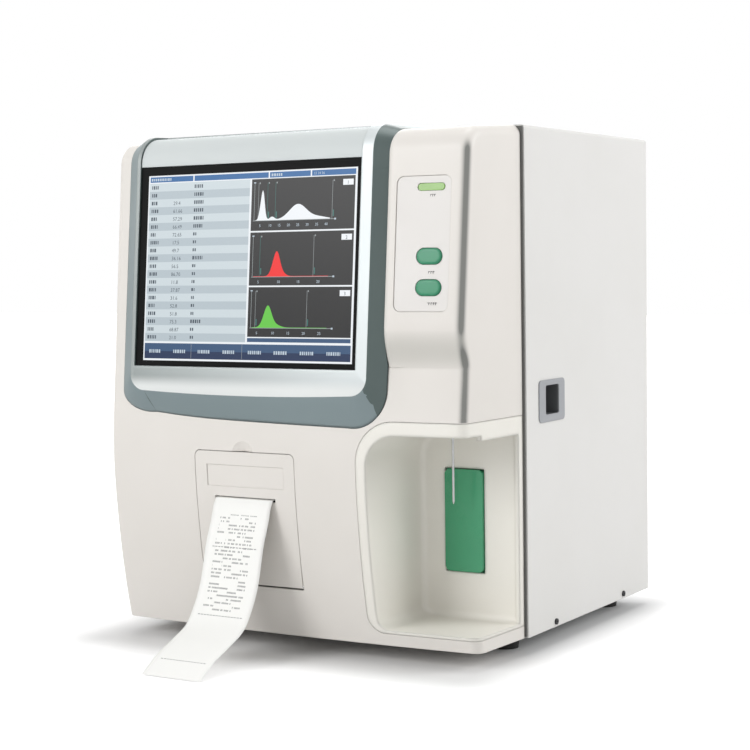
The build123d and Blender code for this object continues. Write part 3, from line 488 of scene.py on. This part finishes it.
def paintSilverLight(b):
    # painted light: the silver finish takes its colour from the place along X and from the height of the lip,
    # brighter to the right and at the lip
    tree = materials[b["finish"]].node_tree
    finish = next(node for node in tree.nodes if node.type == "GROUP")
    x, _, z = objectPlace(tree)
    across = addNode(tree, "ShaderNodeMapRange",
                     {"Value": x, "From Min": b["leftX"], "From Max": b["rightX"]}).outputs["Result"]
    body = mixColours(tree, across, srgb(*b["left"]), srgb(*b["right"]))
    colour = mixColours(tree, smoothRamp(tree, z, b["lipFrom"], b["lipTo"]), body, srgb(*b["lip"]))
    tree.links.new(colour, finish.inputs["Colour"])
    tree.links.new(mixColours(tree, b["dim"], colour, (0, 0, 0, 1)), finish.inputs["Second Colour"])


mergeDistance = 0.000005


def mergedCopy(nodeName, name):
    # a copy of the frame's piece with its doubled points merged, to be refined here
    source = nodes[nodeName]
    obj = source.copy()
    obj.data = source.data.copy()
    bpy.context.scene.collection.objects.link(obj)
    obj.name = obj.data.name = name
    pick(obj)
    bpy.ops.object.mode_set(mode="EDIT")
    bpy.ops.mesh.select_all(action="SELECT")
    bpy.ops.mesh.remove_doubles(threshold=mergeDistance)
    bpy.ops.object.mode_set(mode="OBJECT")
    if obj.data.has_custom_normals:
        bpy.ops.mesh.customdata_custom_splitnormals_clear()
    return obj


def liftFoot(obj, b):
    # the slope's foot rises towards the left end and slides on the cover's surface
    for vert in obj.data.vertices:
        x, y, z = (c / mm for c in vert.co)
        if z >= b["footTop"]:
            continue
        t = min(1.0, max(0.0, (b["liftRight"] - x) / (b["liftRight"] - b["liftLeft"])))
        share = min(1.0, (b["footTop"] - z) / (b["footTop"] - b["footLow"]))
        rise = b["lift"] * t * t * share
        vert.co = Vector((x, y + rise * b["surfaceLean"], z + rise)) * mm


def makeBezel(b):
    paintSilverLight(b)
    outwards = Vector((0, -1, frontLean)).normalized()
    obj = mergedCopy("display_bezel", "display_bezel_two_tone")
    liftFoot(obj, b)
    obj.data.materials.clear()
    for finishName in ("bezelSilver", "bezelFlank", "bezelFlankPaintedShade"):
        obj.data.materials.append(materials[finishName])
    for face in obj.data.polygons:
        frontal = face.normal.dot(outwards) > b["frontal"]
        overTop = abs(face.normal.x) < b["level"] and face.center.z > b["rollFrom"] and face.normal.z > 0
        if frontal or overTop:
            face.material_index = 0
        else:
            # faces turned to the right take the flank's painted-shade copy
            face.material_index = 2 if face.normal.x > b["rightFlank"] else 1
    bpy.ops.object.shade_smooth_by_angle(angle=math.radians(b["smooth"]))
    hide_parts("display_bezel")
    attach(obj, "case")


makeBezel(bezel)
say("screen frame")

# the front cover: the ledge under the column's step is drawn back, so that the step runs out softly
cover = {"ledgeZ": 242.0, "ledge": 1.0, "fade": 14.0, "leftX": 105.2, "rearY": -108.0, "smooth": 26,
         "above": 0.3, "slack": 0.05}


def closeLedge(obj, c):
    above = set()
    for edge in obj.data.edges:
        first, second = edge.vertices
        heights = [obj.data.vertices[k].co.z / mm for k in (first, second)]
        if max(heights) > c["ledgeZ"] + c["above"]:
            above.update((first, second))
    for vert in obj.data.vertices:
        x, y, z = (v / mm for v in vert.co)
        rise = z - c["ledgeZ"]
        if x > c["leftX"] and y < c["rearY"] and -c["slack"] < rise < c["fade"] and vert.index in above:
            vert.co.y += c["ledge"] * (1 - max(rise, 0.0) / c["fade"]) * mm


def makeCover(c):
    obj = mergedCopy("front_cover", "front_cover_smooth")
    closeLedge(obj, c)
    pick(obj)
    bpy.ops.object.shade_smooth_by_angle(angle=math.radians(c["smooth"]))
    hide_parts("front_cover")
    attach(obj, "case")


makeCover(cover)
say("front cover")

# a dark grey strip fills the joint between the moulded front and the sheet-metal case, so that the joint shows dark
jointStrip = {"halfWidth": 182.1, "low": 16.2, "high": 433.8, "front": -79.9, "rear": -78.1, "band": 6.0,
          "past": 5}


def block(x0, x1, y0, y1, z0, z1):
    deselectAll()
    bpy.ops.mesh.primitive_cube_add(size=1)
    obj = newest("block")
    for vert in obj.data.vertices:
        vert.co = Vector(((x0 + x1) / 2 + vert.co.x * (x1 - x0), (y0 + y1) / 2 + vert.co.y * (y1 - y0) + placeY,
                          (z0 + z1) / 2 + vert.co.z * (z1 - z0))) * mm
    return obj


def makeJointStrip(g):
    hole = block(-g["halfWidth"] + g["band"], g["halfWidth"] - g["band"], g["front"] - g["past"],
                 g["rear"] + g["past"],
                 g["low"] + g["band"], g["high"] - g["band"])
    ring = block(-g["halfWidth"], g["halfWidth"], g["front"], g["rear"], g["low"], g["high"])
    ring.name = ring.data.name = "cover_joint_strip"
    cut = ring.modifiers.new("hole", "BOOLEAN")
    cut.operation = "DIFFERENCE"
    cut.object = hole
    pick(ring)
    bpy.ops.object.modifier_apply(modifier="hole")
    pick(hole)
    bpy.ops.object.delete()
    ring.data.materials.append(materials["jointGrey"])
    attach(ring, "case")


makeJointStrip(jointStrip)
say("jointStrip")

# small printed marks under the lamp and the keys
marks = {
    "columns": {"lamp": (145.0, 377.0, 9.0), "print": (145.0, 317.0, 9.5), "sampling": (145.0, 292.6, 15.0)},
    "out": 3.92, "thick": 0.05, "wide": (1.1, 1.7), "gap": 0.55, "tall": (1.6, 2.2), "upright": 0.42,
    "flat": 0.45, "flatUp": 0.6,
}


def makeMarks(m):
    # every mark is an upright and a flat stroke, which spell nothing
    rng = random.Random(3)
    bars = []
    for x, z, length in m["columns"].values():
        at = -length / 2
        while at < length / 2:
            wide = rng.uniform(*m["wide"])
            for across, tall, up in ((m["upright"], rng.uniform(*m["tall"]), 0.0), (wide, m["flat"], m["flatUp"])):
                deselectAll()
                bpy.ops.mesh.primitive_cube_add(size=1)
                bar = newest("bar")
                for vert in bar.data.vertices:
                    vert.co = Vector((at + across / 2 + vert.co.x * across, vert.co.y * tall + up,
                                      vert.co.z * m["thick"])) * mm
                bar.data.transform(leanedPlace(x, z, m["out"]))
                bars.append(bar)
            at += wide + m["gap"]
    pick(*bars)
    bpy.ops.object.join()
    obj = newest("key_marks")
    obj.data.materials.clear()
    obj.data.materials.append(materials["blackPlastic"])
    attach(obj, "case")


makeMarks(marks)
say("key marks")

# the picture on the lit screen: plain fields, bars, curves and numbers
picture = {
    "centre": (-27.8, 323.0), "out": 4.3, "width": 211.0, "height": 158.2, "step": 0.03,
    "rows": 20, "rowsTop": 0.043, "rowPitch": 0.0425,
    "columns": [(0.018, 0.062), (0.128, 0.165), (0.232, 0.292)],
    "titles": [(0.008, 0.224), (0.230, 0.590), (0.596, 0.786), (0.792, 0.992)], "titleTop": 0.007, "titleLow": 0.036,
    "list": (0.006, 0.041, 0.503, 0.896), "headRows": 2, "longUnits": (2, 3, 4, 5, 9, 17),
    "word": 0.019, "titleWord": 0.014, "digits": 4.4, "digitsDown": 0.012,
    "keys": 8, "keysFrom": 0.030, "keyPitch": 0.122, "keyWord": (0.948, 0.062, 0.018), "dividers": (0.240, 0.488),
}
# a word stood for by short bars: their least and greatest width, the gap, and what is left over
words = {"bar": (0.004, 0.009), "gap": 0.0035, "rest": 0.003}
inkColours = {
    "inkWhite": (236, 240, 244), "inkBlue": (40, 100, 158), "inkRowPale": (203, 214, 219),
    "inkRowGrey": (180, 192, 199), "inkMark": (66, 78, 90), "inkChart": (30, 30, 31),
    "inkLine": (150, 156, 158), "inkTeal": (52, 110, 104), "inkRed": (238, 32, 32), "inkGreen": (98, 196, 66),
    "inkBarTop": (52, 82, 118), "inkBarLow": (26, 46, 82), "inkPaleText": (186, 200, 212),
}
lit = {"fine": 2600, "darker": 0.97, "lighter": 1.03, "glow": 0.94, "unlit": 0.25, "rough": 0.3, "shine": 0.25}


def makeInk(name, colour, k):
    # a patch of the lit panel: its own light, seen through the film's fine grain
    mat = bpy.data.materials.new(name)
    mat.use_nodes = True
    tree = mat.node_tree
    shader = tree.nodes["Principled BSDF"]
    where = addNode(tree, "ShaderNodeTexCoord").outputs["Object"]
    sparkle = addNode(tree, "ShaderNodeTexNoise", {"Scale": k["fine"], "Vector": where}).outputs[0]
    dark = srgb(*[c * k["darker"] for c in colour])
    light = srgb(*[min(255, c * k["lighter"]) for c in colour])
    tree.links.new(mixColours(tree, sparkle, dark, light), shader.inputs["Emission Color"])
    shader.inputs["Emission Strength"].default_value = k["glow"]
    shader.inputs["Base Color"].default_value = srgb(*[c * k["unlit"] for c in colour])
    shader.inputs["Roughness"].default_value = k["rough"]
    shader.inputs["Specular IOR Level"].default_value = k["shine"]
    materials[name] = mat


for inkName, inkColour in inkColours.items():
    makeInk(inkName, inkColour, lit)

tiles = []


def pictureX(u):
    return (u - 0.5) * picture["width"] * mm


def pictureY(v):
    return (0.5 - v) * picture["height"] * mm


def tile(u0, v0, u1, v1, level, ink):
    # one flat patch of the picture, on its own level above the glass
    deselectAll()
    bpy.ops.mesh.primitive_plane_add(size=1)
    obj = newest("tile")
    obj.scale = (abs(u1 - u0) * picture["width"] * mm, abs(v1 - v0) * picture["height"] * mm, 1)
    obj.location = (pictureX((u0 + u1) / 2), pictureY((v0 + v1) / 2), level * picture["step"] * mm)
    obj.data.materials.append(materials[ink])
    tiles.append(obj)


def curveTile(u0, u1, vBase, height, steps, level, ink):
    # a filled curve standing on its base line; height gives its rise at each place across
    deselectAll()
    bpy.ops.mesh.primitive_grid_add(x_subdivisions=steps, y_subdivisions=1, size=1)
    obj = newest("curveTile")
    for vert in obj.data.vertices:
        u = u0 + (vert.co.x + 0.5) * (u1 - u0)
        rise = height(u) if vert.co.y > 0 else 0.0
        vert.co = (pictureX(u), pictureY(vBase - rise), level * picture["step"] * mm)
    obj.data.materials.append(materials[ink])
    tiles.append(obj)


def numberTile(text, u, v, size, level, ink):
    deselectAll()
    bpy.ops.object.text_add(location=(pictureX(u), pictureY(v), level * picture["step"] * mm))
    obj = bpy.context.view_layer.objects.active
    obj.data.body = text
    obj.data.size = size * mm
    obj.data.resolution_u = 2
    pick(obj)
    bpy.ops.object.convert(target="MESH")
    obj = newest("numberTile")
    obj.data.materials.clear()
    obj.data.materials.append(materials[ink])
    tiles.append(obj)


def bell(u, middle, width):
    return math.exp(-((u - middle) / width) ** 2)


def wordBars(u, v, length, thick, rng, level, ink):
    x = u
    while x < u + length - words["rest"]:
        w = rng.uniform(*words["bar"])
        tile(x, v - thick / 2, min(x + w, u + length), v + thick / 2, level, ink)
        x += w + words["gap"]


def drawPicture(p):
    rng = random.Random(7)
    tile(0, 0, 1, 1, 1, "inkWhite")
    for u0, u1 in p["titles"]:
        tile(u0, p["titleTop"], u1, p["titleLow"], 2, "inkBlue")
    left, _, right, _ = p["list"]
    tile(*p["list"], 2, "inkRowPale")
    (a0, a1), (b0, _), (c0, _) = p["columns"]
    for row in range(p["rows"]):
        v = p["rowsTop"] + row * p["rowPitch"]
        if row % 2:
            tile(left, v, right, v + p["rowPitch"], 3, "inkRowGrey")
        middle = v + p["rowPitch"] * 0.5
        wordBars(a0, middle, rng.uniform(0.6, 1.0) * (a1 - a0), p["word"], rng, 4, "inkMark")
        if row >= p["headRows"]:
            value = f"{rng.uniform(1, 99):.{rng.choice((1, 2))}f}"
            numberTile(value, b0, middle + p["digitsDown"], p["digits"], 4, "inkMark")
            length, thick = (0.05, p["word"]) if row in p["longUnits"] else (0.016, 0.016)
        else:
            length, thick = 0.045, p["word"]
        wordBars(c0, middle, length, thick, rng, 4, "inkMark")
    for u, length in ((0.014, 0.10), (0.604, 0.05)):
        wordBars(u, 0.022, length, p["titleWord"], rng, 4, "inkPaleText")
    numberTile("12 34 56", 0.80, 0.029, 3.0, 4, "inkPaleText")
    drawCharts()
    tile(0.512, 0.872, 0.990, 0.893, 3, "inkBarTop")
    tile(0.006, 0.905, 0.992, 0.948, 3, "inkBarTop")
    tile(0.006, 0.948, 0.992, 0.988, 3, "inkBarLow")
    v, length, thick = p["keyWord"]
    for k in range(p["keys"]):
        wordBars(p["keysFrom"] + p["keyPitch"] * k, v, length, thick, rng, 4, "inkPaleText")
    for u in p["dividers"]:
        tile(u, 0.908, u + 0.0015, 0.985, 4, "inkLine")


def drawCharts():
    # three dark panels, each with its axes, marker lines, scale numbers, tag and filled curve
    charts = [
        {"top": 0.041, "low": 0.312, "base": 0.258, "markers": [0.545, 0.588, 0.625, 0.888], "ticks": 8,
         "ink": "inkWhite", "tag": "1",
         "rise": lambda u: 0.158 * bell(u, 0.566, 0.0135) + 0.018 * bell(u, 0.612, 0.016)
         + 0.080 * bell(u, 0.733, 0.056) + 0.012 * bell(u, 0.83, 0.05)},
        {"top": 0.320, "low": 0.598, "base": 0.552, "markers": [0.560, 0.810], "ticks": 4, "ink": "inkRed",
         "tag": "2",
         "rise": lambda u: 0.130 * bell(u, 0.640, 0.0235) + 0.010 * bell(u, 0.675, 0.02) + 0.002},
        {"top": 0.606, "low": 0.866, "base": 0.818, "markers": [0.546, 0.786], "ticks": 5, "ink": "inkGreen",
         "tag": "3",
         "rise": lambda u: 0.112 * bell(u, 0.606, 0.0255) + 0.014 * bell(u, 0.645, 0.03) + 0.002},
    ]
    for chart in charts:
        top, low, base = chart["top"], chart["low"], chart["base"]
        tile(0.512, top, 0.990, low, 3, "inkChart")
        curveTile(0.532, 0.880, base, chart["rise"], 90, 5, chart["ink"])
        tile(0.522, base, 0.905, base + 0.003, 6, "inkLine")
        tile(0.526, top + 0.018, 0.528, base, 6, "inkLine")
        tile(0.522, top + 0.016, 0.532, top + 0.022, 6, "inkPaleText")
        tile(0.900, base - 0.003, 0.908, base + 0.006, 6, "inkPaleText")
        for u in chart["markers"]:
            tile(u, top + 0.020, u + 0.0016, base, 4, "inkLine" if u > 0.7 or u < 0.56 else "inkTeal")
            tile(u + 0.004, top + 0.018, u + 0.009, top + 0.026, 4, "inkLine")
            tile(u + 0.004, base - 0.045, u + 0.009, base - 0.012, 4, "inkTeal")
        for k in range(chart["ticks"]):
            u = 0.552 + 0.33 * k / (chart["ticks"] - 0.4)
            numberTile(str(5 * (k + 1)), u, base + 0.034, 3.2, 4, "inkPaleText")
        tile(0.935, top + 0.018, 0.982, top + 0.048, 4, "inkWhite")
        numberTile(chart["tag"], 0.953, top + 0.044, 4.0, 5, "inkMark")


def makePicture(p):
    drawPicture(p)
    pick(*tiles)
    bpy.ops.object.join()
    obj = newest("screen_picture")
    bpy.ops.object.transform_apply(location=True, rotation=True, scale=True)
    x, z = p["centre"]
    obj.data.transform(leanedPlace(x, z, p["out"]))
    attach(obj, "case")


makePicture(picture)
say("screen picture")

# the printed strip: from the roll, over the platen, out of the slot and down to the table
strip = {
    "left": -59.0, "right": -1.0, "thick": 0.12, "columns": 14, "insideSpan": 8, "outsideSpan": 10,
    "inside": [(-128.0, 118.3), (-142.0, 124.5), (-150.0, 129.0), (-157.5, 130.9), (-168.0, 130.9)],
    "outside": [(-176.9, 130.2), (-180.6, 123.5), (-184.4, 112.0), (-192.0, 93.0), (-200.2, 64.0), (-209.5, 45.5),
                (-222.0, 30.2), (-240.5, 21.5), (-260.5, 13.4), (-274.0, 5.6), (-281.0, 1.0)],
}


def smoothLine(points, perSpan):
    # a smooth line through the points, as evenly spaced samples along each span
    made = []
    padded = [points[0], *points, points[-1]]
    for k in range(1, len(padded) - 2):
        p0, p1, p2, p3 = (Vector(padded[k + j]) for j in (-1, 0, 1, 2))
        for s in range(perSpan):
            t = s / perSpan
            made.append(0.5 * ((2 * p1) + (p2 - p0) * t + (2 * p0 - 5 * p1 + 4 * p2 - p3) * t**2
                               + (3 * p1 - p0 - 3 * p2 + p3) * t**3))
    made.append(Vector(points[-1]))
    return made


# the print on the strip: places in mm across and along it, shares of a row or cell, chances
printed = {
    "rowPitch": 3.1, "cell": 1.15, "block": 9.5, "cellChance": 0.22, "blockChance": 0.34, "cellFill": 0.72,
    "row": (0.28, 0.74), "across": (9.0, 46.0), "along": (14.0, 96.0),
    "rulePitch": 58.0, "ruleAt": 0.72, "ruleHalf": 0.006, "rule": (6.0, 52.0), "dash": 3.0, "dashGap": 0.3,
    "fadeScale": 0.9, "fade": (0.7, 0.4), "paper": (238, 238, 235), "ink": (74, 74, 78), "rough": 0.62,
    "fibreScale": 2.2, "fibreDetail": 4, "bumpStrength": 0.2, "bump": 0.02,
}


def makePaperFinish(p):
    # thermal paper with rows of short grey marks; the marks follow the strip's own UV, in mm
    mat = bpy.data.materials.new("printedPaper")
    mat.use_nodes = True
    tree = mat.node_tree
    shader = tree.nodes["Principled BSDF"]
    uv = addNode(tree, "ShaderNodeUVMap", uv_map="alongStrip").outputs[0]
    across, along, _ = addNode(tree, "ShaderNodeSeparateXYZ", {0: uv}).outputs

    def step(operation, *values):
        return mathStep(tree, operation, *values)

    def allOf(first, *others):
        for other in others:
            first = step("MULTIPLY", first, other)
        return first

    def between(value, limits):
        return step("MULTIPLY", step("GREATER_THAN", value, limits[0]), step("LESS_THAN", value, limits[1]))

    def chance(column):
        # a steady random value for each place in the rows
        place = addNode(tree, "ShaderNodeCombineXYZ", {0: row, 1: column}).outputs[0]
        return addNode(tree, "ShaderNodeTexWhiteNoise", {"Vector": place}, noise_dimensions="3D").outputs["Value"]

    row = step("FLOOR", step("DIVIDE", along, p["rowPitch"]))
    inRow = step("FRACT", step("DIVIDE", along, p["rowPitch"]))
    column = step("FLOOR", step("DIVIDE", across, p["cell"]))
    inCell = step("FRACT", step("DIVIDE", across, p["cell"]))
    # words come in blocks: a second chance over groups of cells says where
    block = step("FLOOR", step("DIVIDE", across, p["block"]))
    # the margins, the head and the foot of the print stay blank
    mark = allOf(step("GREATER_THAN", chance(column), p["cellChance"]),
                 step("GREATER_THAN", chance(block), p["blockChance"]),
                 step("LESS_THAN", inCell, p["cellFill"]), between(inRow, p["row"]),
                 between(across, p["across"]), between(along, p["along"]))
    # dashed rules, one for each pitch along the strip
    fromRule = step("ABSOLUTE", step("SUBTRACT", step("FRACT", step("DIVIDE", along, p["rulePitch"])), p["ruleAt"]))
    dashes = step("GREATER_THAN", step("FRACT", step("DIVIDE", across, p["dash"])), p["dashGap"])
    ruled = allOf(step("LESS_THAN", fromRule, p["ruleHalf"]), between(across, p["rule"]), dashes)
    fade = addNode(tree, "ShaderNodeTexNoise", {"Scale": p["fadeScale"], "Vector": uv}).outputs[0]
    amount = step("MULTIPLY", step("MAXIMUM", mark, ruled), step("MULTIPLY_ADD", fade, *p["fade"]))
    tree.links.new(mixColours(tree, amount, srgb(*p["paper"]), srgb(*p["ink"])), shader.inputs["Base Color"])
    shader.inputs["Roughness"].default_value = p["rough"]
    fibre = addNode(tree, "ShaderNodeTexNoise", {"Scale": p["fibreScale"], "Detail": p["fibreDetail"], "Vector": uv})
    bump = addNode(tree, "ShaderNodeBump",
                   {"Strength": p["bumpStrength"], "Distance": p["bump"] * mm, "Height": fibre.outputs[0]})
    tree.links.new(bump.outputs[0], shader.inputs["Normal"])
    materials["printedPaper"] = mat


def makeStrip(name, line, finishName):
    # a grid bent along the line; UV runs in mm across and along
    deselectAll()
    bpy.ops.mesh.primitive_grid_add(x_subdivisions=strip["columns"], y_subdivisions=len(line) - 1, size=1)
    obj = newest(name)
    lengths = [0.0]
    for a, b in zip(line, line[1:]):
        lengths.append(lengths[-1] + (b - a).length)
    width = strip["right"] - strip["left"]
    where = {}
    for vert in obj.data.vertices:
        across = vert.co.x + 0.5
        step = round((vert.co.y + 0.5) * (len(line) - 1))
        y, z = line[step]
        vert.co = Vector((strip["left"] + across * width, y + placeY, z)) * mm
        where[vert.index] = (across * width, lengths[step])
    layer = obj.data.uv_layers.new(name="alongStrip") if not obj.data.uv_layers else obj.data.uv_layers[0]
    layer.name = "alongStrip"
    for loop in obj.data.loops:
        layer.data[loop.index].uv = where[loop.vertex_index]
    obj.data.materials.append(materials[finishName])
    pick(obj)
    bpy.ops.object.shade_smooth()
    thick = obj.modifiers.new("thick", "SOLIDIFY")
    thick.thickness = strip["thick"] * mm
    thick.offset = 0.0
    bpy.ops.object.modifier_apply(modifier="thick")
    return obj, lengths[-1]


def makePaper():
    makePaperFinish(printed)
    slot = strip["outside"][0]
    inner = smoothLine(strip["inside"] + [slot], strip["insideSpan"])
    outer = smoothLine(strip["outside"], strip["outsideSpan"])
    innerStrip, innerLength = makeStrip("paper_strip_inside", inner, "paperPlain")
    outerStrip, outerLength = makeStrip("paper_strip_outside", outer, "printedPaper")
    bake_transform(innerStrip)
    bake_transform(outerStrip)
    for piece in (innerStrip, outerStrip):
        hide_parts("paper_strip")
    say(f"strip, mm inside and outside: {innerLength:.1f} {outerLength:.1f}")


makePaper()
say("paper")

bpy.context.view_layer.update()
say("size written")
